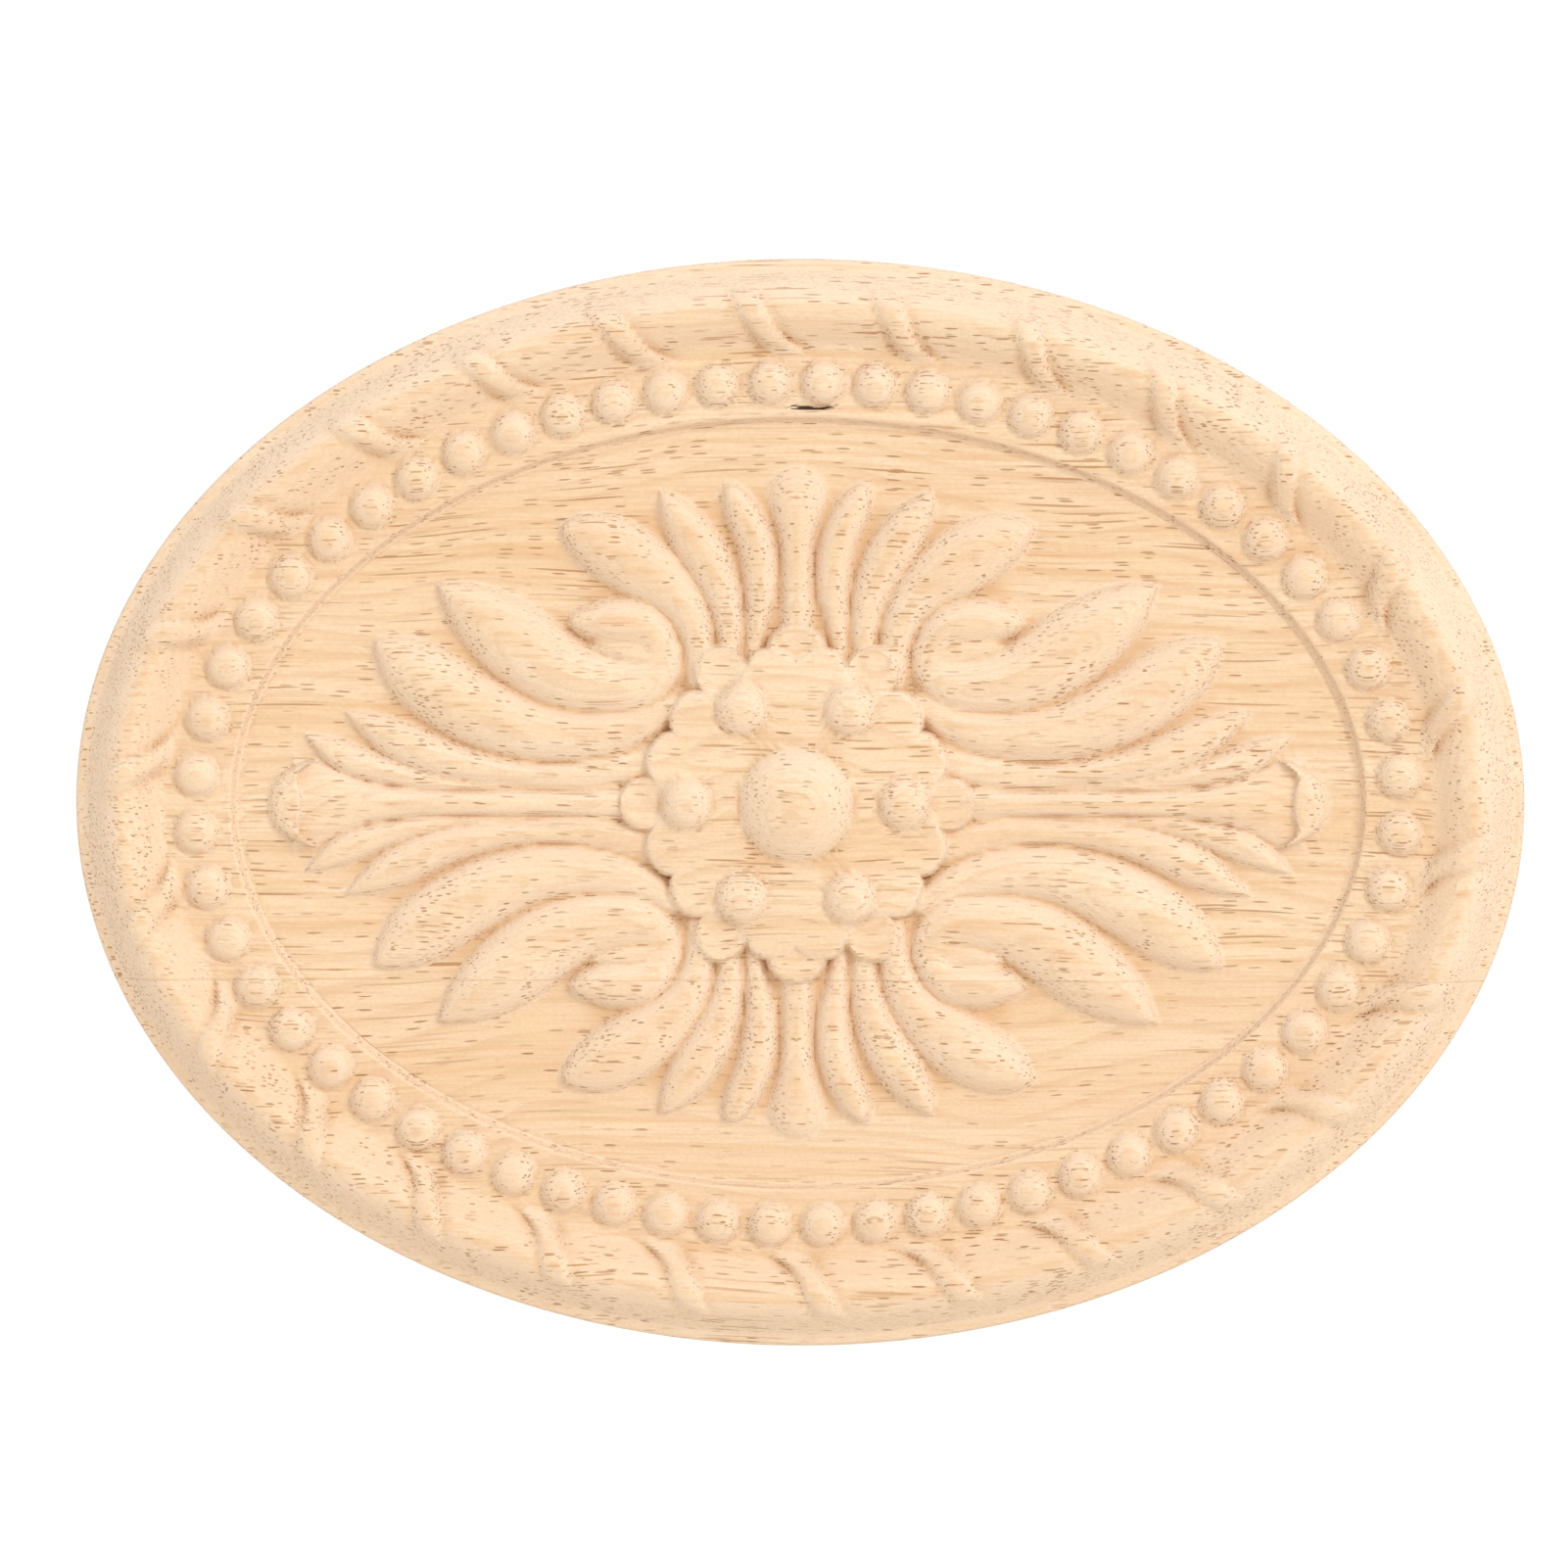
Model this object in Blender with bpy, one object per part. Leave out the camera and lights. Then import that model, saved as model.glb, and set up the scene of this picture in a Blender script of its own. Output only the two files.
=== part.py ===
"""Oval carved wood onlay, 200 x 150 mm: a ribbon-wrapped rim, a row of pearls, a sunk field with
a spray of acanthus leaves, and a scalloped rosette.

The onlay is carved from one board, so it is one solid. It is laid out face up in millimetres, with
X along the oval's length, and the empty at the middle of the back stands it up: the back is then
the plane Y = 0, the face looks along -Y, and +Z is up.
"""

import math

import bmesh
import bpy
from mathutils import Vector

MM = 0.001

# The board: an oval with a sunk field. Heights are measured from the back.
LENGTH = 200.0
HEIGHT = 150.0
SEMI_X = LENGTH / 2
SEMI_Y = HEIGHT / 2
OVAL_STEPS = 64
WALL_Z = 4.9
EDGE_Z = 6.2
CREST_Z = 11.6
BAND_Z = 8.7
FIELD_Z = 7.3

# The rim moulding, by its distance in from the edge.
EDGE_WIDTH = 1.1
CREST = 7.2
ROLL_FOOT = 12.1
BAND_END = 21.6
STEP_FOOT = 22.6

# Ribbons that cross the roll, all leaning the same way round. They are spaced along the line at
# RIBBON_LINE, with a small drift in the spacing that goes once round the oval. RIBBON_PROUD is how
# far they stand over the roll at evenly spaced places, from the outer end to the inner one.
RIBBON_COUNT = 26
RIBBON_START = 0.668
RIBBON_DRIFT = 0.09
RIBBON_LINE = 14.0
RIBBON_OUTER = 3.2
RIBBON_INNER = 12.6
RIBBON_LEAN = 6.3
RIBBON_RADIUS = 3.0
RIBBON_PROUD = (-0.1, 0.8, 0.8, 0.1)

# Pearls on the flat band.
PEARL_COUNT = 60
PEARL_INSET = 17.0
PEARL_RADIUS = 3.35
PEARL_SUNK = 1.1

# Leaves of one quarter: root, two handles and tip of the spine, greatest half width, where along
# the spine that is, the share of it left at the root, and the crown's height over the field.
LEAVES = {
    "plume_inner": ((6.0, 20.5), (6.3, 25.1), (1.4, 32.5), (9.7, 44.0), 2.9, 0.83, 0.46, 2.6),
    "plume_outer": ((9.2, 20.5), (9.0, 30.1), (12.2, 33.8), (18.8, 42.9), 3.6, 0.68, 0.51, 2.8),
    "upper_leaf": ((13.8, 16.5), (11.7, 28.3), (20.3, 33.2), (32.6, 38.2), 4.8, 0.73, 0.39, 3.2),
    "curled_lobe": ((17.9, 17.5), (18.2, 27.5), (25.4, 24.4), (31.6, 25.2), 3.7, 0.49, 0.56, 3.0),
    "broad_leaf": ((17.5, 21.0), (19.3, 13.4), (30.5, 13.3), (49.3, 30.4), 5.7, 0.76, 0.49, 3.5),
    "long_leaf": ((17.0, 13.8), (23.1, 8.3), (38.0, 4.5), (58.2, 22.6), 5.1, 0.84, 0.45, 3.3),
    "low_leaf": ((19.8, 7.9), (38.8, -0.4), (51.4, 6.6), (62.3, 12.5), 2.9, 0.74, 0.33, 2.5),
    "side_leaf": ((34.0, 2.3), (56.0, 1.9), (59.5, 5.1), (68.0, 9.3), 2.3, 0.71, 0.26, 2.1),
}
LEAF_STATIONS = 7
TIP_SHARE = 0.06

# The club that stands between the two plumes, by height above the middle, and its half width.
CLUB = ((21.0, 2.6), (28.0, 2.3), (33.5, 2.3), (38.0, 3.0), (42.0, 4.1), (44.6, 3.5), (46.3, 1.4))
CLUB_CROWN = 3.0

# The stem along the length, and the fan that it opens into, with a rolled lip.
STEM = ((21.0, 2.2), (30.0, 1.9), (52.0, 1.9), (60.0, 1.6))
STEM_CROWN = 2.1
FAN = ((47.0, 1.2), (53.6, 2.0), (59.2, 2.9), (63.7, 4.7), (67.1, 6.2), (68.8, 6.4))
FAN_CROWN = 1.7
LIP_CENTRE = 65.4
LIP_RADIUS = 6.3
LIP_SPREAD = math.radians(78)
LIP_THICK = 1.35
LIP_CROWN = 2.1
LIP_STATIONS = 8

# The rosette: a scalloped plate on eight dished petals, six small balls and a boss.
PLATE_Z = 11.0
SCALLOPS = 12
SCALLOP_STEPS = 4
PLATE_REACH = 21.8
PLATE_CUSP = 19.9
PETAL_ANGLES = (0, 60, 90, 120, 180, 240, 270, 300)
PETAL_PLACE = 20.8
PETAL_RADIUS = 4.15
PETAL_Z = 10.4
PETAL_STEPS = 12
BALL_PLACE = 15.0
BALL_RADIUS = 3.8
BALL_Z = 10.2
BOSS_RADIUS = 8.3
BOSS_SQUASH = 0.56
BOSS_Z = 10.0

WOOD_COLOUR = (0.86, 0.66, 0.44, 1.0)
WOOD_ROUGHNESS = 0.62


def clear_scene():
    for item in list(bpy.data.objects):
        bpy.data.objects.remove(item, do_unlink=True)


def collection(name):
    made = bpy.data.collections.new(name)
    bpy.context.scene.collection.children.link(made)
    return made


def place(name, mesh, group, bench):
    """Puts a face-up mesh, in metres, on the bench that stands the work up."""
    item = bpy.data.objects.new(name, mesh)
    group.objects.link(item)
    item.parent = bench
    return item


def inset_point(angle, inset, z=0.0):
    """The point at that distance inside the oval's edge, square to the edge."""
    nx = math.cos(angle) / SEMI_X
    ny = math.sin(angle) / SEMI_Y
    size = math.hypot(nx, ny)
    x = SEMI_X * math.cos(angle) - nx / size * inset
    y = SEMI_Y * math.sin(angle) - ny / size * inset
    return Vector((x, y, z))


def even_angles(count, start, inset, drift=0.0, steps=4000):
    """Oval angles that divide the line at that inset into equal lengths, less a cosine drift."""
    turn = 2 * math.pi
    points = [inset_point(turn * i / steps, inset) for i in range(steps + 1)]
    run = [0.0]
    for a, b in zip(points, points[1:]):
        run.append(run[-1] + (b - a).length)
    angles, step = [], 0
    for k in range(count):
        sway = drift * math.cos(turn * (k + 4) / count)
        goal = (k + start - sway) / count * run[-1]
        while run[step + 1] < goal:
            step += 1
        share = (goal - run[step]) / (run[step + 1] - run[step])
        angles.append(turn * (step + share) / steps)
    return angles


def rim_height(inset):
    """Height of the rim moulding: a rounded edge, then a roll that falls to the edge and band."""
    if inset < EDGE_WIDTH:
        return WALL_Z + (EDGE_Z - WALL_Z) * inset / EDGE_WIDTH
    if inset < CREST:
        out = (CREST - inset) / (CREST - EDGE_WIDTH)
        return EDGE_Z + (CREST_Z - EDGE_Z) * (1 - out**2)
    across = min((inset - CREST) / (ROLL_FOOT - CREST), 1.0)
    return BAND_Z + (CREST_Z - BAND_Z) * (1 - across**1.5)


def make_board(group, bench):
    """The board: closed loops of the moulding's profile, bridged, with flat back and field."""
    roll = (0.0, EDGE_WIDTH, 2.6, 4.6, CREST, 9.2, 10.8, ROLL_FOOT)
    profile = [(0.0, 0.0)] + [(inset, rim_height(inset)) for inset in roll]
    profile += [(BAND_END, BAND_Z), (STEP_FOOT, FIELD_Z)]
    shape = bmesh.new()
    loops = []
    for inset, z in profile:
        ring = []
        for k in range(OVAL_STEPS):
            angle = 2 * math.pi * k / OVAL_STEPS
            ring.append(shape.verts.new(inset_point(angle, inset, z) * MM))
        edges = [shape.edges.new((ring[k - 1], ring[k])) for k in range(OVAL_STEPS)]
        loops.append((ring, edges))
    for (_, lower), (_, upper) in zip(loops, loops[1:]):
        bmesh.ops.bridge_loops(shape, edges=lower + upper)
    shape.faces.new(loops[0][0])
    shape.faces.new(loops[-1][0])
    bmesh.ops.recalc_face_normals(shape, faces=shape.faces)
    mesh = bpy.data.meshes.new("oval_onlay")
    shape.to_mesh(mesh)
    shape.free()
    return place("oval_onlay", mesh, group, bench)


def make_ball(name, centre, radius, squash, segments, rings, group, bench):
    """A ball of the given radius, lowered or raised by its squash, centred in millimetres."""
    shape = bmesh.new()
    bmesh.ops.create_uvsphere(shape, u_segments=segments, v_segments=rings, radius=radius * MM)
    mesh = bpy.data.meshes.new(name)
    shape.to_mesh(mesh)
    shape.free()
    item = place(name, mesh, group, bench)
    item.location = Vector(centre) * MM
    item.scale = (1.0, 1.0, squash)
    return item


def make_tube(name, stations, squash, z, sides, group, bench):
    """A tapered tube through (x, y, z, radius) stations, flattened by its squash about height z."""
    path = bpy.data.curves.new(name, "CURVE")
    path.dimensions = "3D"
    path.bevel_depth = MM
    path.bevel_resolution = (sides - 4) // 2
    path.use_fill_caps = True
    path.twist_mode = "Z_UP"
    spline = path.splines.new("POLY")
    spline.points.add(len(stations) - 1)
    for point, (x, y, height, radius) in zip(spline.points, stations):
        point.co = (x * MM, y * MM, height * MM, 1.0)
        point.radius = radius
    curve = place(name, path, group, bench)
    curve.location = (0.0, 0.0, z * MM)
    curve.scale = (1.0, 1.0, squash)
    return to_mesh(curve, group, bench)


def to_mesh(curve, group, bench):
    """The curve object as a mesh object with welded caps, in the same place."""
    bpy.context.view_layer.update()
    seen = curve.evaluated_get(bpy.context.evaluated_depsgraph_get())
    mesh = bpy.data.meshes.new_from_object(seen)
    shape = bmesh.new()
    shape.from_mesh(mesh)
    bmesh.ops.remove_doubles(shape, verts=shape.verts, dist=0.001 * MM)
    bmesh.ops.recalc_face_normals(shape, faces=shape.faces)
    shape.to_mesh(mesh)
    shape.free()
    name, location, scale = curve.name, curve.location.copy(), curve.scale.copy()
    bpy.data.objects.remove(curve, do_unlink=True)
    item = place(name, mesh, group, bench)
    item.location = location
    item.scale = scale
    return item


def spine_point(root, first, second, tip, t):
    """A point of the cubic curve from root to tip, pulled towards its two handles."""
    s = 1 - t
    weights = (s**3, 3 * s * s * t, 3 * s * t * t, t**3)
    x, y = (
        sum(w * p[axis] for w, p in zip(weights, (root, first, second, tip)))
        for axis in (0, 1)
    )
    return x, y


def leaf_width(t, widest, root_share):
    """Share of the greatest half width: an eased rise to the widest place, then a round taper."""
    if t < widest:
        rise = math.sin(math.pi / 2 * t / widest) ** 2
        return root_share + (1 - root_share) * rise
    return max((1 - ((t - widest) / (1 - widest)) ** 2) ** 0.7, TIP_SHARE)


def make_leaves(group, bench):
    """Eight leaves in each quarter, mirrored about both middle lines."""
    for name, (root, first, second, tip, wide, widest, root_share, crown) in LEAVES.items():
        steps = [i / (LEAF_STATIONS - 1) for i in range(LEAF_STATIONS)]
        for quarter, (side, up) in enumerate(((1, 1), (-1, 1), (-1, -1), (1, -1))):
            stations = []
            for t in steps:
                x, y = spine_point(root, first, second, tip, t)
                radius = wide * leaf_width(t, widest, root_share)
                stations.append((side * x, up * y, 0.0, radius))
            make_tube(f"{name}_{quarter}", stations, crown / wide, FIELD_Z, 8, group, bench)


def make_axis_stems(group, bench):
    """The clubs on the short axis, and on the long axis the stems with their rolled lips."""
    club_wide = max(half for _, half in CLUB)
    stem_wide = max(half for _, half in STEM)
    fan_wide = max(half for _, half in FAN)
    for side in (1, -1):
        club = [(0.0, side * along, 0.0, half) for along, half in CLUB]
        make_tube(f"club_{side}", club, CLUB_CROWN / club_wide, FIELD_Z, 8, group, bench)
        stem = [(side * along, 0.0, 0.0, half) for along, half in STEM]
        make_tube(f"stem_{side}", stem, STEM_CROWN / stem_wide, FIELD_Z, 8, group, bench)
        fan = [(side * along, 0.0, 0.0, half) for along, half in FAN]
        make_tube(f"fan_{side}", fan, FAN_CROWN / fan_wide, FIELD_Z, 8, group, bench)
        lip = []
        for i in range(LIP_STATIONS):
            turn = LIP_SPREAD * (2 * i / (LIP_STATIONS - 1) - 1)
            x = side * (LIP_CENTRE + LIP_RADIUS * math.cos(turn))
            y = LIP_RADIUS * math.sin(turn)
            lip.append((x, y, 0.0, LIP_THICK * (0.45 + 0.55 * math.cos(turn))))
        make_tube(f"lip_{side}", lip, LIP_CROWN / LIP_THICK, FIELD_Z, 8, group, bench)


def make_ribbons(group, bench):
    """Ribbons laid over the roll, each a tube sunk in it so that a low band stands proud."""
    angles = even_angles(RIBBON_COUNT, RIBBON_START, RIBBON_LINE, RIBBON_DRIFT)
    for k, angle in enumerate(angles):
        stations = []
        for i, proud in enumerate(RIBBON_PROUD):
            share = i / (len(RIBBON_PROUD) - 1)
            inset = RIBBON_OUTER + (RIBBON_INNER - RIBBON_OUTER) * share
            here = inset_point(angle, inset)
            along = (inset_point(angle + 0.01, inset) - here).normalized()
            sway = RIBBON_LEAN * (share**2 - 0.48)
            z = rim_height(inset) + proud - RIBBON_RADIUS
            here -= along * sway
            stations.append((here.x, here.y, z, RIBBON_RADIUS))
        make_tube(f"ribbon_{k:02d}", stations, 1.0, 0.0, 6, group, bench)


def make_pearls(group, bench):
    """Pearls evenly spaced along the band, straddling both middle lines."""
    for k, angle in enumerate(even_angles(PEARL_COUNT, 0.5, STEP_FOOT)):
        centre = inset_point(angle, PEARL_INSET, BAND_Z - PEARL_SUNK)
        make_ball(f"pearl_{k:02d}", centre, PEARL_RADIUS, 1.0, 7, 6, group, bench)


def make_plate(group, bench):
    """The scalloped plate: an outline of round lobes, filled and given its thickness."""
    outline = []
    steps = SCALLOPS * SCALLOP_STEPS
    for k in range(steps):
        turn = 2 * math.pi * k / steps + math.pi / 6
        lobe = abs(math.sin(SCALLOPS * (turn - math.pi / 6) / 2)) ** 0.7
        reach = PLATE_CUSP + (PLATE_REACH - PLATE_CUSP) * lobe
        outline.append((reach * math.cos(turn), reach * math.sin(turn)))
    flat = bpy.data.curves.new("plate", "CURVE")
    flat.dimensions = "2D"
    flat.fill_mode = "BOTH"
    flat.extrude = (PLATE_Z - FIELD_Z / 2) / 2 * MM
    spline = flat.splines.new("POLY")
    spline.points.add(len(outline) - 1)
    for point, (x, y) in zip(spline.points, outline):
        point.co = (x * MM, y * MM, 0.0, 1.0)
    spline.use_cyclic_u = True
    curve = place("plate", flat, group, bench)
    curve.location = (0.0, 0.0, (PLATE_Z + FIELD_Z / 2) / 2 * MM)
    to_mesh(curve, group, bench)


def make_petals(group, bench):
    """Round petals that show from under the plate."""
    depth = PETAL_Z - FIELD_Z / 2
    for angle in PETAL_ANGLES:
        turn = math.radians(angle)
        shape = bmesh.new()
        bmesh.ops.create_cone(
            shape,
            cap_ends=True,
            segments=PETAL_STEPS,
            radius1=PETAL_RADIUS * MM,
            radius2=(PETAL_RADIUS - 0.3) * MM,
            depth=depth * MM,
        )
        mesh = bpy.data.meshes.new(f"petal_{angle}")
        shape.to_mesh(mesh)
        shape.free()
        item = place(f"petal_{angle}", mesh, group, bench)
        x, y = PETAL_PLACE * math.cos(turn), PETAL_PLACE * math.sin(turn)
        item.location = Vector((x, y, PETAL_Z - depth / 2)) * MM


def make_rosette(group, bench):
    make_plate(group, bench)
    make_petals(group, bench)
    for k in range(6):
        turn = math.radians(60 * k)
        centre = (BALL_PLACE * math.cos(turn), BALL_PLACE * math.sin(turn), BALL_Z)
        make_ball(f"ball_{k}", centre, BALL_RADIUS, 0.85, 10, 6, group, bench)
    make_ball("boss", (0.0, 0.0, BOSS_Z), BOSS_RADIUS, BOSS_SQUASH, 20, 10, group, bench)


def wood():
    material = bpy.data.materials.new("pale_wood")
    material.use_nodes = True
    shader = material.node_tree.nodes["Principled BSDF"]
    shader.inputs["Base Color"].default_value = WOOD_COLOUR
    shader.inputs["Roughness"].default_value = WOOD_ROUGHNESS
    shader.inputs["Metallic"].default_value = 0.0
    return material


def main():
    clear_scene()
    onlay_group = collection("oval wood onlay")
    carving = collection("carved shapes")
    bench = bpy.data.objects.new("back_face_middle", None)
    bpy.context.scene.collection.objects.link(bench)
    bench.rotation_euler = (math.pi / 2, 0.0, 0.0)

    board = make_board(onlay_group, bench)
    make_pearls(carving, bench)
    make_ribbons(carving, bench)
    make_leaves(carving, bench)
    make_axis_stems(carving, bench)
    make_rosette(carving, bench)
    for shape in carving.objects:
        shape.hide_render = True
        shape.display_type = "WIRE"

    union = board.modifiers.new("carving", "BOOLEAN")
    union.operation = "UNION"
    union.solver = "EXACT"
    union.operand_type = "COLLECTION"
    union.collection = carving
    board.data.materials.append(wood())


main()
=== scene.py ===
"""Oval carved wood onlay, 200 mm long and 150 mm high, standing with its carved face towards -Y.

The onlay is one carved board, so it is one piece: its face is a single sheet of heights above the
flat back, worked out in millimetres over the oval's plan, with x along its length and y up it.
"""

import math

import bpy
import numpy as np
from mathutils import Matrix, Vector


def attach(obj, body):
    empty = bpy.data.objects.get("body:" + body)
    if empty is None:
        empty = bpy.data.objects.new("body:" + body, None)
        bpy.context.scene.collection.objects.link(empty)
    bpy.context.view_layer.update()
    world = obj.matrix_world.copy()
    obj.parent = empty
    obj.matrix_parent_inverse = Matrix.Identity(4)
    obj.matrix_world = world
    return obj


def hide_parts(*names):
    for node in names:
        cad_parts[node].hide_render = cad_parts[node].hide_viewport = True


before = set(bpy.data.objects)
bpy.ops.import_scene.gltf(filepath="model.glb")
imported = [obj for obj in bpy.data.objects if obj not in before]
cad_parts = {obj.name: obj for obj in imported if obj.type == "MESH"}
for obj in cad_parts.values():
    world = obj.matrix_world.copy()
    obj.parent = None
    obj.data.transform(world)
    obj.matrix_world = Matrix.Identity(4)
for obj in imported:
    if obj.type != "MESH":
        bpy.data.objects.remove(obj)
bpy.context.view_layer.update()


# The board
# Two strips of pale rubberwood glued edge to edge and sawn to a true oval. The back stays flat,
# and every height is measured up from it.
half_length, half_height = 100.0, 75.0


def edge_point(angle, inset):
    """Plan point a distance inside the oval's edge: the ellipse's own point, moved back by that
    distance along the ellipse's unit normal."""
    across, up = np.cos(angle) / half_length, np.sin(angle) / half_height
    size = np.hypot(across, up)
    x = half_length * np.cos(angle) - across / size * inset
    y = half_height * np.sin(angle) - up / size * inset
    return x, y


def even_angles(count, start, inset):
    """Angles that cut the line at that inset into equal lengths: the running length of 20,000
    short chords, read backwards at evenly spaced lengths."""
    angle = np.linspace(0.0, 2 * np.pi, 20001)
    x, y = edge_point(angle, inset)
    length = np.concatenate([[0.0], np.cumsum(np.hypot(np.diff(x), np.diff(y)))])
    return np.interp((np.arange(count) + start) / count * length[-1], length, angle)


# The rim moulding
# Run round the edge with one shaped cutter: a narrow rounded edge above the side wall, a long
# slope up to the crest, and a steeper roll down to the flat band that carries the pearls.
wall_top, edge_top, crest_top, band_top, field_top = 4.9, 6.2, 11.6, 8.7, 7.3
edge_width, crest_inset, roll_foot, band_end, step_foot = 1.1, 7.2, 12.1, 21.6, 22.75


def rim_height(inset):
    """Height of the moulding at a distance in from the edge. The edge is a quarter ellipse. The
    slope's steepness is (1 - u) (1 - exp(-u / 0.14)), summed and scaled to the crest's height.
    The roll falls as the power 1.5 of the distance past the crest, and then the band is flat.
    The fall is averaged over 1.8 mm, which rounds its foot."""
    edge = wall_top + (edge_top - wall_top) * np.sqrt(
        np.clip(1 - (1 - np.clip(inset, 0, edge_width) / edge_width) ** 2, 0, 1)
    )
    u = np.linspace(0, 1, 400)
    climb = np.cumsum((1 - u) * (1 - np.exp(-u / 0.14)))
    climb = (climb - climb[0]) / (climb[-1] - climb[0])
    slope = np.interp((inset - edge_width) / (crest_inset - edge_width), u, climb)
    near = inset[..., None] + np.array([-0.9, -0.3, 0.3, 0.9])
    fall = (np.clip((near - crest_inset) / (roll_foot - crest_inset), 0, 1) ** 1.5).mean(-1)
    raised = edge_top + (crest_top - edge_top) * slope - (crest_top - band_top) * fall
    return np.where(inset < edge_width, edge, raised)


# The ribbons
# Twenty-six narrow ribbons are carved across the roll, all leaning the same way round. Each is a
# proud band with a steep wall and a fine groove on both sides, and spreads out on to the flat.
ribbon_count, ribbon_start, ribbon_drift, ribbon_line = 26, 0.668, 0.09, 14.0
ribbon_outer, ribbon_inner, ribbon_width, ribbon_proud = 3.4, 13.7, 3.8, 1.0
ribbon_first, ribbon_rise, ribbon_fade = 4, 1.7, 2.2
ribbon_back, ribbon_lean, ribbon_bend, ribbon_spread = -4.4, 0.5, 0.147, 0.1


def ribbon_height(angle, inset):
    """Height that the ribbons add. Their spacing is even but for a drift that goes once round as
    a cosine. Each ribbon's back edge lies at a distance along the rim that grows by half the
    inset and then by its square, and u is the share of the width in front of that edge. The
    section over u has a groove, a wall, the flat, and a wall and a groove again. It fades
    smoothly at both ends and is stronger on the inner half."""
    turn = 2 * np.pi * (np.arange(ribbon_count) + ribbon_first) / ribbon_count
    middle = even_angles(ribbon_count, ribbon_start - ribbon_drift * np.cos(turn), ribbon_line)
    x, y = edge_point(np.linspace(0, 2 * np.pi, 20001), 9.0)
    length = np.concatenate([[0.0], np.cumsum(np.hypot(np.diff(x), np.diff(y)))])
    here = np.interp(angle, np.linspace(0, 2 * np.pi, 20001), length)
    centre = np.interp(middle, np.linspace(0, 2 * np.pi, 20001), length)
    ahead = centre[None, None, :] - here[..., None]
    ahead = (ahead + length[-1] / 2) % length[-1] - length[-1] / 2
    ahead = np.take_along_axis(ahead, np.abs(ahead).argmin(-1)[..., None], -1)[..., 0]
    run = inset - ribbon_outer - 1.4
    back = ribbon_back + ribbon_lean * run + ribbon_bend * np.clip(run - 5, 0, None) ** 2
    width = ribbon_width + ribbon_spread * np.clip(run - 4.5, 0, None) ** 2
    u = (ahead - back) / width
    cross = np.interp(
        u,
        [-0.6, -0.3, -0.12, 0.14, 0.3, 0.6, 0.79, 1.04, 1.2, 1.5],
        [0.0, -0.12, -0.4, 0.85, 1.0, 0.95, 0.85, -0.5, -0.25, 0.0],
    )
    rise = np.clip((inset - ribbon_outer) / ribbon_rise, 0, 1)
    fade = np.clip((ribbon_inner - inset) / ribbon_fade, 0, 1)
    strength = 0.7 + 0.45 * np.clip((inset - 7.0) / 4.0, 0, 1)
    smooth = (rise * rise * (3 - 2 * rise)) * (fade * fade * (3 - 2 * fade))
    return ribbon_proud * cross * strength * smooth


# The pearls
# Sixty round pearls stand on the flat band, evenly spaced along the field's edge, each with the
# fine ring that the hollow cutter leaves at its foot.
pearl_count, pearl_inset, pearl_foot, pearl_rise = 60, 16.95, 3.15, 2.1
pearl_ring_deep, pearl_ring_out, pearl_ring_wide = 0.16, 0.12, 0.28


def bell(distance, width):
    """Bell shape: one in its middle, then the exponential of minus the squared distance."""
    return np.exp(-((distance / width) ** 2))


def pearl_height(x, y):
    """Height that the pearls add: a spherical cap over the nearest pearl's centre, with a narrow
    bell-shaped groove cut round its foot."""
    px, py = edge_point(even_angles(pearl_count, 0.5, band_end), pearl_inset)
    away = np.hypot(x[..., None] - px, y[..., None] - py).min(-1)
    radius = (pearl_rise**2 + pearl_foot**2) / (2 * pearl_rise)
    cap = np.sqrt(np.clip(radius**2 - away**2, 0, None)) - (radius - pearl_rise)
    ring = pearl_ring_deep * bell(away - pearl_foot - pearl_ring_out, pearl_ring_wide)
    return np.clip(cap, 0, None) - ring


# The sunk field
# The middle is routed 1.4 mm lower than the band. The step is a steep little wall with a fine burr
# along its top. A slit in the wood has opened between it and the top pearls.
burr_rise, burr_wide, groove_deep, groove_wide = 0.03, 0.22, 0.05, 0.3
slit_x, slit_y, slit_half, slit_gap, slit_deep = 1.9, 54.5, 3.1, 0.34, 0.9


def step_height(inset):
    """Height of the field's edge over the band's flat: a smooth step down between its two insets,
    plus a bell-shaped burr at its top, less a bell-shaped groove at its foot."""
    u = np.clip((inset - band_end) / (step_foot - band_end), 0, 1)
    step = (field_top - band_top) * u * u * (3 - 2 * u)
    burr = burr_rise * bell(inset - band_end + 0.05, burr_wide)
    groove = groove_deep * bell(inset - step_foot - 0.1, groove_wide)
    return step + burr - groove


def slit_depth(x, y):
    """Depth of the slit: a bell shape, long across the oval and narrow up it."""
    return slit_deep * np.exp(-(((x - slit_x) / slit_half) ** 4) - ((y - slit_y) / slit_gap) ** 2)


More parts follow.
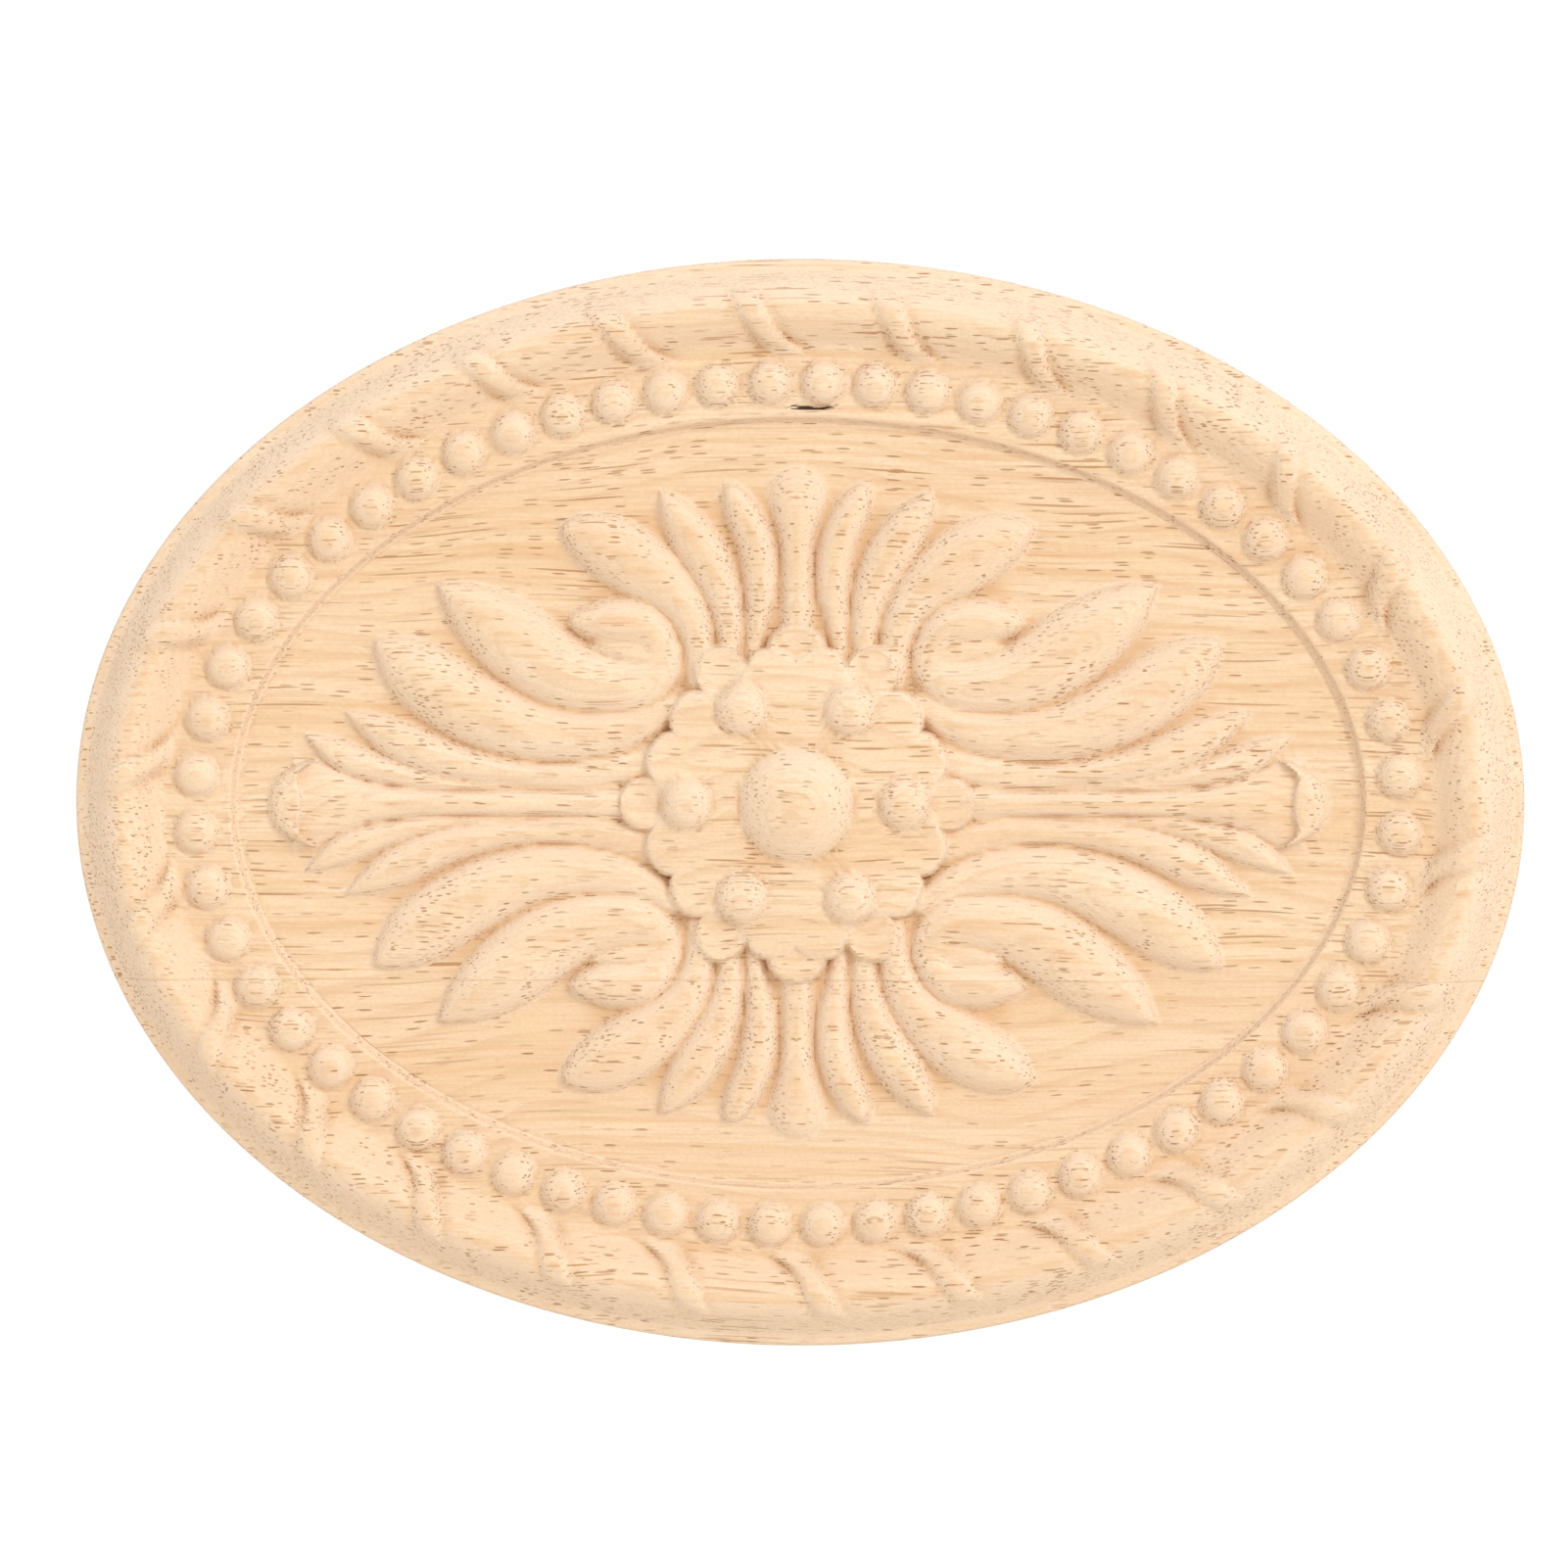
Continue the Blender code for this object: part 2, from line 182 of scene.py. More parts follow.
# The leaves
# A spray of acanthus leaves in each quarter, mirrored about both middle lines. Each leaf is a soft
# pillow along a curved spine, and where two leaves meet the carver has left a crease.
# Each row is a leaf: its crown above the field, then points of the spine as x, y and half width.
# The two webs fill the hollows beside the stem and inside the curled lobe.
quarter_leaves = {
    "inner plume": (2.6, [(6.1, 20.5, 1.3), (5.4, 25.6, 1.75), (4.95, 30.2, 2.55), (5.7, 35.8, 2.8),
                          (7.4, 39.8, 2.7), (8.7, 42.3, 1.8), (9.2, 43.3, 0.8)]),
    "outer plume": (2.8, [(9.2, 20.5, 1.7), (9.4, 25.0, 2.2), (10.4, 29.3, 2.85), (12.2, 33.3, 3.5),
                          (14.4, 36.7, 3.5), (16.5, 39.7, 2.5), (17.8, 41.5, 1.4),
                          (18.4, 42.4, 0.6)]),
    "upper leaf": (3.2, [(13.8, 16.5, 1.7), (13.6, 22.0, 2.4), (15.3, 26.8, 3.2), (18.4, 30.4, 4.1),
                         (21.6, 32.7, 4.9), (25.2, 34.9, 4.8), (28.2, 36.4, 3.8), (30.8, 37.5, 1.9),
                         (32.3, 37.9, 0.3)]),
    "curled lobe": (3.0, [(17.8, 17.5, 1.8), (18.6, 21.5, 2.7), (20.9, 24.3, 3.5), (24.6, 25.0, 3.6),
                          (28.0, 25.0, 2.7), (30.0, 25.1, 1.6), (30.8, 25.1, 0.8)]),
    "broad leaf": (3.5, [(17.6, 21.0, 2.2), (18.9, 18.0, 3.2), (22.6, 16.3, 4.2), (28.8, 16.8, 4.9),
                         (34.4, 19.1, 5.6), (39.8, 23.0, 5.6), (44.4, 26.4, 4.0),
                         (47.5, 28.7, 1.9), (49.4, 29.9, 0.3)]),
    "long leaf": (3.3, [(17.0, 13.8, 1.9), (21.5, 10.9, 2.9), (28.2, 9.4, 3.6), (36.7, 10.0, 4.4),
                        (45.1, 13.3, 5.2), (51.7, 17.5, 4.9), (55.9, 20.6, 2.6),
                        (58.1, 22.3, 0.3)]),
    "low leaf": (2.5, [(19.8, 8.0, 0.9), (25.4, 5.8, 1.15), (32.2, 4.3, 1.45), (39.5, 4.3, 1.9),
                       (47.9, 5.8, 2.75), (54.7, 8.6, 3.1), (59.4, 11.0, 1.7),
                       (62.0, 12.4, 0.3)]),
    "side leaf": (2.1, [(25.0, 2.5, 0.5), (34.0, 2.3, 0.6), (45.1, 2.4, 0.85), (50.7, 3.0, 1.25),
                        (56.4, 4.3, 1.95), (62.0, 6.2, 2.4), (65.7, 8.2, 1.3), (67.7, 9.3, 0.25)]),
    "stem web": (2.2, [(19.0, 6.2, 3.6), (23.0, 5.0, 2.7), (28.0, 3.8, 1.7), (34.0, 3.0, 1.0),
                       (39.0, 2.7, 0.3)]),
    "curl web": (2.5, [(19.0, 20.4, 2.4), (23.0, 20.9, 2.0), (26.3, 21.3, 1.3), (28.4, 21.6, 0.5)]),
    "club": (2.8, [(0.0, 21.0, 2.6), (0.0, 27.0, 2.3), (0.0, 33.5, 2.3), (0.0, 37.6, 2.85),
                   (0.0, 40.4, 3.7), (0.0, 42.3, 4.2)]),
}


def spine_through(points, count):
    """Evenly spread samples of a smooth curve through the points: a cubic on each span whose end
    slopes are half the step between the neighbouring points."""
    p = np.array(points)
    p = np.vstack([2 * p[0] - p[1], p, 2 * p[-1] - p[-2]])
    t = np.linspace(0, len(points) - 1, count)
    k = np.minimum(t.astype(int), len(points) - 2)
    s = (t - k)[:, None]
    a, b, c, d = p[k], p[k + 1], p[k + 2], p[k + 3]
    return b + 0.5 * s * (c - a + s * (2 * a - 5 * b + 4 * c - d + s * (3 * (b - c) + d - a)))


def pillow(x, y, crown, points):
    """Height of one leaf: the highest of many round cushions along its spine. A cushion's height
    is its crown times (1 - r * r) to the power 0.8, where r is the distance in half widths, and
    its crown goes with the power 0.36 of the leaf's width there, lower towards the root."""
    spine = spine_through(points, 180)
    wide = np.clip(spine[:, 2], 0.15, None)
    along = np.linspace(0, 1, len(wide))
    tall = crown * (wide / wide.max()) ** 0.36 * (0.78 + 0.22 * np.sin(np.pi * along**1.3))
    height = np.zeros(x.shape)
    lo = (spine[:, :2] - wide[:, None]).min(0)
    hi = (spine[:, :2] + wide[:, None]).max(0)
    near = (x > lo[0]) & (x < hi[0]) & (y > lo[1]) & (y < hi[1])
    dx = x[near][:, None] - spine[:, 0]
    dy = y[near][:, None] - spine[:, 1]
    left = np.clip(1 - (dx * dx + dy * dy) / wide**2, 0, None)
    if left.size:
        height[near] = (tall * left**0.8).max(1)
    return height


crease_soft, fan_soft = 0.22, 0.12


def blend_up(a, b, soft):
    """The higher of two heights, with the crease between them rounded. The rounding adds a quarter
    of the softness where the two are equal, and nothing where they differ by more than it."""
    mix = np.clip(0.5 + 0.5 * (a - b) / soft, 0, 1)
    return b + (a - b) * mix + soft * mix * (1 - mix)


def leaf_height(x, y):
    """Height of the whole spray above the field: every leaf of the quarter, blended together,
    less what the blend adds to the bare field."""
    height = np.zeros(x.shape)
    for crown, points in quarter_leaves.values():
        height = blend_up(pillow(x, y, crown, points), height, crease_soft)
    return height - crease_soft / 4


# The side fans
# On the long axis a slim stem opens into a fan, and the fan's end rolls over into a plump lip with
# a wavy inner edge. The lip's edges are given by turn and distance from a point in the fan.
fan_along = [24.0, 30.0, 36.7, 45.0, 53.6, 59.2, 63.7, 67.1, 69.5]
fan_half = [2.2, 1.9, 1.85, 1.8, 2.0, 2.9, 4.7, 6.2, 6.5]
fan_crown = [1.9, 2.0, 2.1, 2.1, 2.1, 2.0, 1.75, 1.35, 1.2]
lip_turn = np.radians([0, 15, 28, 41, 48, 58, 70, 85, 100])
lip_inner = [2.1, 2.2, 2.5, 3.3, 4.4, 5.0, 5.35, 5.9, 6.4]
lip_outer = [7.0, 7.0, 6.9, 6.6, 6.35, 6.2, 6.15, 6.15, 6.3]
lip_middle, lip_rise = 66.0, 2.35


def fan_height(x, y):
    """Height of the stem, fan and lip. The stem and fan are an arch across their width. The lip
    is measured by distance and turn from a point in the fan: it rises sharply at its inner
    edge and rounds down to the field at its outer edge."""
    half = np.interp(x, fan_along, fan_half)
    arch = np.interp(x, fan_along, fan_crown) * np.clip(1 - (y / half) ** 2, 0, 1) ** 0.5
    arch = np.where(x < fan_along[-1], arch, 0)
    reach, turn = np.hypot(x - lip_middle, y), np.abs(np.arctan2(y, x - lip_middle))
    inner, outer = np.interp(turn, lip_turn, lip_inner), np.interp(turn, lip_turn, lip_outer)
    u = (reach - inner) / np.maximum(outer - inner, 0.2)
    roll = np.clip(1 - np.clip(u, 0, 1) ** 2.4, 0, 1) ** 0.55
    start = np.clip(u / 0.3 + 0.5, 0, 1)
    fade = np.clip((np.radians(88) - turn) / np.radians(16), 0, 1)
    lip = lip_rise * roll * start * start * (3 - 2 * start) * fade**0.5
    return np.maximum(arch, np.where(u < 1, lip, 0))


# The rosette
# A round plate with a scalloped edge, slightly domed, lies over eight small dished petals. Six balls
# and a large boss, turned with hollow cutters, stand on it.
plate_top, plate_dome, plate_foot, plate_round = 11.05, 0.8, 8.6, 0.9
petal_top, petal_foot, petal_dish, petal_hollow, petal_round = 10.1, 7.0, 0.5, 0.86, 0.16
# The plate's reach by the turn, in degrees, from the nearest notch between two scallops.
scallop_turn = [0, 2, 5, 9, 12, 15, 18, 20, 24, 30]
scallop_reach = [20.0, 20.7, 21.4, 21.8, 21.9, 21.75, 21.2, 20.4, 19.2, 18.6]
# Each petal by its turn in degrees, its middle's distance and its radius. These three are in one
# quarter, and mirroring makes eight of them.
petals = [(0, 20.9, 3.9), (60, 20.9, 3.9), (90, 20.8, 4.3)]
ball_place, ball_foot, ball_rise = 15.0, 3.7, 2.1
boss_foot, boss_rise = 7.95, 3.5
ball_ring_deep, ball_ring_out, ball_ring_wide, plate_from = 0.2, 0.1, 0.3, 9.0


def rosette_height(x, y):
    """Height of the rosette above the back, in a quarter. A petal is a shallow dish with a round
    rim. The plate falls with the square of the distance from its middle and has a rounded edge,
    whose reach depends on the turn from the nearest notch. A ball or the boss is a spherical
    cap with a groove round its foot."""
    height = np.zeros(x.shape)
    for degrees, place, foot in petals:
        px, py = place * math.cos(math.radians(degrees)), place * math.sin(math.radians(degrees))
        away = np.hypot(x - px, y - py) / foot
        dish = petal_top - petal_dish * np.clip(1 - (away / petal_hollow) ** 2, 0, 1) ** 0.7
        side = np.clip((1 - away) / petal_round, 0, 1) ** 0.5
        height = np.maximum(height, (dish - petal_foot) * side + petal_foot * (away < 1))
    reach, turn = np.hypot(x, y), np.degrees(np.arctan2(y, x))
    notch = np.abs(turn % 60 - 30)
    edge = np.interp(notch, scallop_turn, scallop_reach)
    inside = np.clip((edge - reach) / plate_round, 0, 1)
    dome = plate_top - plate_dome * (reach / 21) ** 2
    plate = plate_foot + (dome - plate_foot) * (1 - (1 - inside) ** 2) ** 0.5
    height = np.where(reach < edge, np.maximum(height, plate), height)
    sixth = math.pi / 3
    balls = np.minimum(
        np.hypot(x - ball_place, y),
        np.hypot(x - ball_place * math.cos(sixth), y - ball_place * math.sin(sixth)),
    )
    for away, foot, rise in ((balls, ball_foot, ball_rise), (reach, boss_foot, boss_rise)):
        radius = (rise**2 + foot**2) / (2 * rise)
        cap = np.sqrt(np.clip(radius**2 - away**2, 0, None)) - (radius - rise)
        ring = ball_ring_deep * bell(away - foot - ball_ring_out, ball_ring_wide)
        height = height + np.where(height > plate_from, np.clip(cap, 0, None) - ring, 0)
    return height


def carved_height(x, y):
    """Height of the field and all that stands on it. The carving is the same in every quarter,
    so it is read at the absolute plan position."""
    x, y = np.abs(x), np.abs(y)
    grown = blend_up(leaf_height(x, y), fan_height(x, y), fan_soft)
    return np.maximum(field_top + np.clip(grown, 0, None), rosette_height(x, y))


# The carved face
# The cutter's surface as a mesh. Round the rim its rows follow the moulding, and inside the step a
# four-sided net fills the field, drawn together where the carving is steep.
columns, columns_inset, net_long, net_high, back_inset = 832, 12.0, 246, 170, 6.0
map_x, map_y, map_step, map_steepest = 80.0, 56.0, 0.4, 2.0
rows = np.concatenate([
    [0.0, 0.08, 0.22, 0.42, 0.7, 1.1], np.linspace(1.5, 11.4, 24), [11.75, 12.05, 12.4],
    np.linspace(12.9, 21.3, 17), np.linspace(21.6, 22.8, 7),
])
ring_angle = even_angles(columns, 0.0, columns_inset)
ring_angle, ring_inset = np.meshgrid(ring_angle, rows)
ring_x, ring_y = edge_point(ring_angle, ring_inset)
ring_h = rim_height(ring_inset) + ribbon_height(ring_angle, ring_inset)
ring_h = ring_h + pearl_height(ring_x, ring_y) + step_height(ring_inset)
ring_h = ring_h - slit_depth(ring_x, ring_y)


def fill_net(side_x, side_y, settle=260, pull=2.4):
    """Plan of the net that fills a closed line of points. It starts as the blend of its four
    sides, and then every knot moves again and again to the mean of its neighbours, weighted by
    one plus a multiple of the carving's steepness. The steepness is read from a map of the
    field, capped and smoothed twice, and read anew every tenth time."""
    corner = net_high // 2

    def part_of_ring(first, count, step):
        """Numbers of the columns along one side of the net."""
        return (first + step * np.arange(count + 1)) % columns

    right = part_of_ring(-corner, net_high, 1)
    top = part_of_ring(corner + net_long, net_long, -1)
    left = part_of_ring(columns // 2 + corner, net_high, -1)
    bottom = part_of_ring(columns // 2 + corner, net_long, 1)
    u, v = np.meshgrid(np.linspace(0, 1, net_long + 1), np.linspace(0, 1, net_high + 1))
    knots = []
    for side in (side_x, side_y):
        across = (1 - u) * side[left][:, None] + u * side[right][:, None]
        up = (1 - v) * side[bottom][None, :] + v * side[top][None, :]
        corners = (1 - v) * ((1 - u) * side[bottom[0]] + u * side[bottom[-1]])
        corners = corners + v * ((1 - u) * side[top[0]] + u * side[top[-1]])
        knots.append(across + up - corners)
    x, y = knots
    map_along = np.arange(-map_x, map_x + 0.1, map_step)
    map_up = np.arange(-map_y, map_y + 0.1, map_step)
    lift = carved_height(*np.meshgrid(map_along, map_up))
    steep = np.minimum(np.hypot(*np.gradient(lift, map_step)), map_steepest)
    for _ in range(2):
        steep[1:-1, 1:-1] = (
            steep[1:-1, 1:-1] * 2 + steep[:-2, 1:-1] + steep[2:, 1:-1]
            + steep[1:-1, :-2] + steep[1:-1, 2:]
        ) / 6
    for step in range(settle):
        if step % 10 == 0:
            i = np.clip(((x + map_x) / map_step).round().astype(int), 0, len(map_along) - 1)
            j = np.clip(((y + map_y) / map_step).round().astype(int), 0, len(map_up) - 1)
            weight = 1 + pull * steep[j, i]
        mid = weight[1:-1, 1:-1]
        sides = ((slice(None, -2), slice(1, -1)), (slice(2, None), slice(1, -1)),
                 (slice(1, -1), slice(None, -2)), (slice(1, -1), slice(2, None)))
        total = sum(mid + weight[s] for s in sides)
        new_x = sum((mid + weight[s]) * x[s] for s in sides) / total
        new_y = sum((mid + weight[s]) * y[s] for s in sides) / total
        x[1:-1, 1:-1], y[1:-1, 1:-1] = new_x, new_y
    return x, y


net_x, net_y = fill_net(ring_x[-1], ring_y[-1])
net_h = carved_height(net_x, net_y)
net_h[[0, -1], :] = field_top
net_h[:, [0, -1]] = field_top

# Every vertex in one list: the back's two rows, the ring's rows, the knots inside the net, then
# the back's middle. The net's own border is the ring's last row.
back_x, back_y = edge_point(np.tile(ring_angle[0], (2, 1)), np.array([[back_inset], [0.0]]))
back = np.stack([back_x, back_y, np.zeros_like(back_x)], -1).reshape(-1, 3)
ring = np.stack([ring_x, ring_y, ring_h], -1).reshape(-1, 3)
inner = np.stack([net_x, net_y, net_h], -1)[1:-1, 1:-1].reshape(-1, 3)
plan = np.vstack([back, ring, inner, [[0.0, 0.0, 0.0]]])

# Bands of triangles join each row to the next. The net's squares are cut along the diagonal that
# points to the middle, and a fan of triangles closes the back.
loops = len(rows) + 2
number = np.arange(loops * columns).reshape(loops, columns)
a, b = number[:-1], np.roll(number[:-1], -1, 1)
c, d = np.roll(number[1:], -1, 1), number[1:]
ring_faces = np.stack([np.stack([a, b, c], -1), np.stack([a, c, d], -1)], 2).reshape(-1, 3)

knot = np.full((net_high + 1, net_long + 1), -1)
knot[1:-1, 1:-1] = loops * columns + np.arange((net_high - 1) * (net_long - 1)).reshape(
    net_high - 1, net_long - 1
)
last, corner = number[-1], net_high // 2
knot[:, -1] = last[(np.arange(net_high + 1) - corner) % columns]
knot[-1, ::-1] = last[(corner + np.arange(net_long + 1)) % columns]
knot[::-1, 0] = last[(corner + net_long + np.arange(net_high + 1)) % columns]
knot[0, :] = last[(corner + net_long + net_high + np.arange(net_long + 1)) % columns]
p, q, r, s = knot[:-1, :-1], knot[:-1, 1:], knot[1:, 1:], knot[1:, :-1]
rising = (np.arange(net_high)[:, None] < net_high / 2) == (np.arange(net_long) < net_long / 2)
first = np.where(rising[..., None], np.stack([p, q, r], -1), np.stack([p, q, s], -1))
second = np.where(rising[..., None], np.stack([p, r, s], -1), np.stack([q, r, s], -1))
net_faces = np.stack([first, second], 2).reshape(-1, 3)

hub = len(plan) - 1
back_faces = np.stack([np.full(columns, hub), np.roll(number[0], -1), number[0]], -1)
faces = np.vstack([back_faces, ring_faces, net_faces])

# The plan is stood up in metres: x stays, the height comes forward to -Y, and y goes up.
stood = np.stack([plan[:, 0], -plan[:, 2], plan[:, 1]], -1) * 0.001
sheet = bpy.data.meshes.new("carved_oval")
sheet.from_pydata(stood, [], faces)
sheet.update()
sheet.shade_smooth()
sheet.set_sharp_from_angle(angle=math.radians(60))

# How much painted shade the wood gets, for the material. The heights are evened out along the mesh's
# edges, and where that has filled a gap in the carving, the depth filled darkens it as painted shade
# in the creases. Fine lines of painted shade also run along the step, in the ribbons' grooves and
# round the feet of the pearls, balls and boss, and a band of painted shade lies over the roll's
# inner slope.
evening_steps, crease_from, crease_whole, rim_share = 70, 0.5, 0.6, 0.6
step_shade, step_shade_inset, step_shade_wide = 0.35, 22.1, 0.45
roll_shade, roll_shade_inset, roll_shade_wide = 0.3, 10.3, 1.9
groove_shade, groove_shade_deep = 0.4, 0.35
foot_shade, foot_shade_out, foot_shade_wide, raised_from = 0.3, 0.05, 0.3, 8.0
ends = np.empty(2 * len(sheet.edges), int)
sheet.edges.foreach_get("vertices", ends)
one, other = ends[::2], ends[1::2]
joins = np.bincount(one, minlength=len(plan)) + np.bincount(other, minlength=len(plan))
evened = plan[:, 2].copy()
for _ in range(evening_steps):
    total = np.bincount(one, evened[other], len(plan)) + np.bincount(other, evened[one], len(plan))
    evened = (evened + total / joins) / 2
shade_amount = np.clip((evened - plan[:, 2] - crease_from) / crease_whole, 0, 1)
shade_amount[: 2 * columns] = 0
shade_amount[hub] = 0
around = slice(2 * columns, loops * columns)
shade_amount[around] *= rim_share
shade_amount[around] += (
    step_shade * bell(ring_inset - step_shade_inset, step_shade_wide)
    + roll_shade * np.exp(-(((ring_inset - roll_shade_inset) / roll_shade_wide) ** 4))
    + groove_shade * np.clip(-ribbon_height(ring_angle, ring_inset) / groove_shade_deep, 0, 1)
).ravel()
feet = [(0.0, 0.0, boss_foot)]
feet += [(ball_place * math.cos(k), ball_place * math.sin(k), ball_foot)
         for k in np.arange(6) * math.pi / 3]
feet += [(px, py, pearl_foot) for px, py in
         zip(*edge_point(even_angles(pearl_count, 0.5, band_end), pearl_inset))]
for px, py, foot in feet:
    away = np.hypot(plan[:, 0] - px, plan[:, 1] - py)
    on_raised = plan[:, 2] > raised_from
    shade_amount += foot_shade * bell(away - foot - foot_shade_out, foot_shade_wide) * on_raised
painted_shade = sheet.attributes.new("painted_shade", "FLOAT", "POINT")
painted_shade.data.foreach_set("value", shade_amount)

carved_oval = bpy.data.objects.new("carved_oval", sheet)
bpy.context.scene.collection.objects.link(carved_oval)
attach(carved_oval, "root")
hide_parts("oval_onlay")


# The bare wood
# Unfinished rubberwood: pale cream, with thin brown pores that run along the length, faint growth
# lines, and a hairline of glue where the lower strip's own grain begins.
glue_drop = 0.0243
wood = bpy.data.materials.new("bare_rubberwood")
wood.use_nodes = True
nodes, links = wood.node_tree.nodes, wood.node_tree.links
shader = nodes["Principled BSDF"]
shader.inputs["Roughness"].default_value = 0.62
shader.inputs["Specular IOR Level"].default_value = 0.25
place = nodes.new("ShaderNodeTexCoord").outputs["Object"]


def joined(kind, settings=(), **inputs):
    """A node of that kind with its settings made, its inputs given or linked, and its first
    output returned. An input is given by its name, or by i and its number."""
    node = nodes.new(kind)
    for name, value in settings:
        setattr(node, name, value)
    for name, value in inputs.items():
        by_number = name[0] == "i" and name[1:].isdigit()
        socket = node.inputs[int(name[1:]) if by_number else name]
        if isinstance(value, bpy.types.NodeSocket):
            links.new(value, socket)
        else:
            socket.default_value = value
    return node.outputs[0]


def maths(how, first, second=0.0, clamp=False):
    """One sum on two numbers or sockets."""
    return joined("ShaderNodeMath", (("operation", how), ("use_clamp", clamp)), i0=first, i1=second)


def ramp(value, low, high, to_low=0.0, to_high=1.0):
    """A smooth change between two values as the input goes from low to high."""
    return joined(
        "ShaderNodeMapRange", (("interpolation_type", "SMOOTHSTEP"),),
        i0=value, i1=low, i2=high, i3=to_low, i4=to_high,
    )


def mixed(share, under, over):
    """Colour that goes from under to over with the share."""
    node = nodes.new("ShaderNodeMix")
    node.data_type = "RGBA"
    for socket, value in ((node.inputs[0], share), (node.inputs[6], under), (node.inputs[7], over)):
        if isinstance(value, bpy.types.NodeSocket):
            links.new(value, socket)
        else:
            socket.default_value = value
    return node.outputs[2]


def stretched(scale, shift=(0.0, 0.0, 0.0), from_place=None):
    """Place in the wood, scaled on each axis, so that a pattern runs long along the grain."""
    return joined(
        "ShaderNodeMapping", Vector=from_place or wood_place, Scale=scale, Location=shift
    )


def noise(scale, detail=2.0, **places):
    """Soft random pattern from 0 to 1, stretched along the grain."""
    return joined("ShaderNodeTexNoise", Vector=stretched(scale, **places), Scale=1.0, Detail=detail)


# The lower strip is another board, so its grain is read from another place in the wood.
axes = nodes.new("ShaderNodeSeparateXYZ")
links.new(place, axes.inputs[0])
along, deep, up = axes.outputs
lower = maths("LESS_THAN", up, -glue_drop)
moved = nodes.new("ShaderNodeCombineXYZ")
for axis, distance in enumerate((0.37, 0.011, 0.23)):
    links.new(maths("MULTIPLY", lower, distance), moved.inputs[axis])
wood_place = joined("ShaderNodeVectorMath", (("operation", "ADD"),), i0=place, i1=moved.outputs[0])

# Broad bands of tone and narrower streaks, then growth layers that lie nearly flat in the board,
# so that they run as long lines on the field and as rings on the domes.
sway = noise((14, 30, 30))
drift = nodes.new("ShaderNodeCombineXYZ")
links.new(maths("MULTIPLY", sway, 0.009), drift.inputs[2])
grain_place = joined(
    "ShaderNodeVectorMath", (("operation", "ADD"),), i0=wood_place, i1=drift.outputs[0]
)
broad = noise((9, 60, 130), detail=3.0, from_place=grain_place)
streak = noise((18, 850, 850), detail=3.0, from_place=grain_place)
layers_per_metre = 1700.0
layer_place = nodes.new("ShaderNodeSeparateXYZ")
links.new(wood_place, layer_place.inputs[0])
tilt = maths("ADD", layer_place.outputs[1], maths("MULTIPLY", layer_place.outputs[2], 0.16))
layer = maths("ADD", maths("MULTIPLY", tilt, layers_per_metre), maths("MULTIPLY", sway, 9.0))
layer = maths("FRACT", layer)
late = maths("SUBTRACT", ramp(layer, 0.55, 0.93), ramp(layer, 0.93, 1.0))
fibre = noise((90, 2600, 2600))


# Pores: long thin vessels, of which a random share is open. They show as dashes on the flats and
# as dots where a slope cuts across them.
def pores(scale, width, keep, shift):
    """Share of open pore: one minus the smoothed distance from the nearest cell's middle, kept
    only in cells whose random value is above a limit."""
    cells = nodes.new("ShaderNodeTexVoronoi")
    links.new(stretched(scale, shift, grain_place), cells.inputs["Vector"])
    cells.inputs["Scale"].default_value = 1.0
    cells.inputs["Randomness"].default_value = 1.0
    pick = nodes.new("ShaderNodeSeparateColor")
    links.new(cells.outputs["Color"], pick.inputs[0])
    hole = ramp(cells.outputs["Distance"], width * 0.6, width, 1.0, 0.0)
    kept = maths("MULTIPLY", hole, maths("GREATER_THAN", pick.outputs[0], keep))
    return maths("MULTIPLY", kept, ramp(pick.outputs[1], 0.0, 1.0, 0.3, 1.0))


patches = noise((30, 160, 160))
long_pores = pores((46, 2400, 2400), 0.33, 0.55, (3.1, 0.7, 1.9))
short_pores = pores((260, 2500, 2500), 0.34, 0.66, (1.3, 5.1, 0.2))
open_share = ramp(patches, 0.36, 0.56, 0.45, 1.0)
long_pores = maths("MULTIPLY", long_pores, open_share)
short_pores = maths("MULTIPLY", short_pores, open_share)

# Slopes are cut across the fibres, which leaves them rough and paler. Their paling is also painted
# light that lifts the shade on the steep walls.
facing = nodes.new("ShaderNodeSeparateXYZ")
links.new(nodes.new("ShaderNodeNewGeometry").outputs["Normal"], facing.inputs[0])
steep = ramp(maths("ABSOLUTE", facing.outputs[1]), 0.55, 0.97, 1.0, 0.0)
speckle = noise((1600, 2500, 2500))
lean = maths("SUBTRACT", 1.0, maths("ABSOLUTE", facing.outputs[1]))
paled = maths("POWER", maths("DIVIDE", lean, 0.25, clamp=True), 0.55)
rough = maths("MULTIPLY", steep, ramp(speckle, 0.50, 0.60))

# The colours in the order in which they are laid over each other: two tones of cream, the lower
# strip, late wood, streaks, fibres and stains, then the paler slopes, which are partly painted
# light, then painted shade and the pores.
pale_cream, warm_cream = (0.81, 0.62, 0.425, 1), (0.765, 0.535, 0.33, 1)
lower_tone, late_tone = (0.73, 0.49, 0.31, 1), (0.66, 0.42, 0.235, 1)
streak_tone, fibre_tone = (0.70, 0.43, 0.22, 1), (0.65, 0.40, 0.22, 1)
stain_tone, slope_tone = (0.78, 0.59, 0.32, 1), (0.845, 0.675, 0.52, 1)
speckle_tone, rough_tone = (0.60, 0.38, 0.22, 1), (0.60, 0.39, 0.22, 1)
painted_shade_tone = (0.62, 0.34, 0.14, 1)
long_pore_tone, short_pore_tone = (0.47, 0.22, 0.075, 1), (0.38, 0.17, 0.06, 1)
painted_shade_share = nodes.new("ShaderNodeAttribute")
painted_shade_share.attribute_name = "painted_shade"
stains = noise((110, 150, 150), shift=(0.4, 0.1, 0.3))

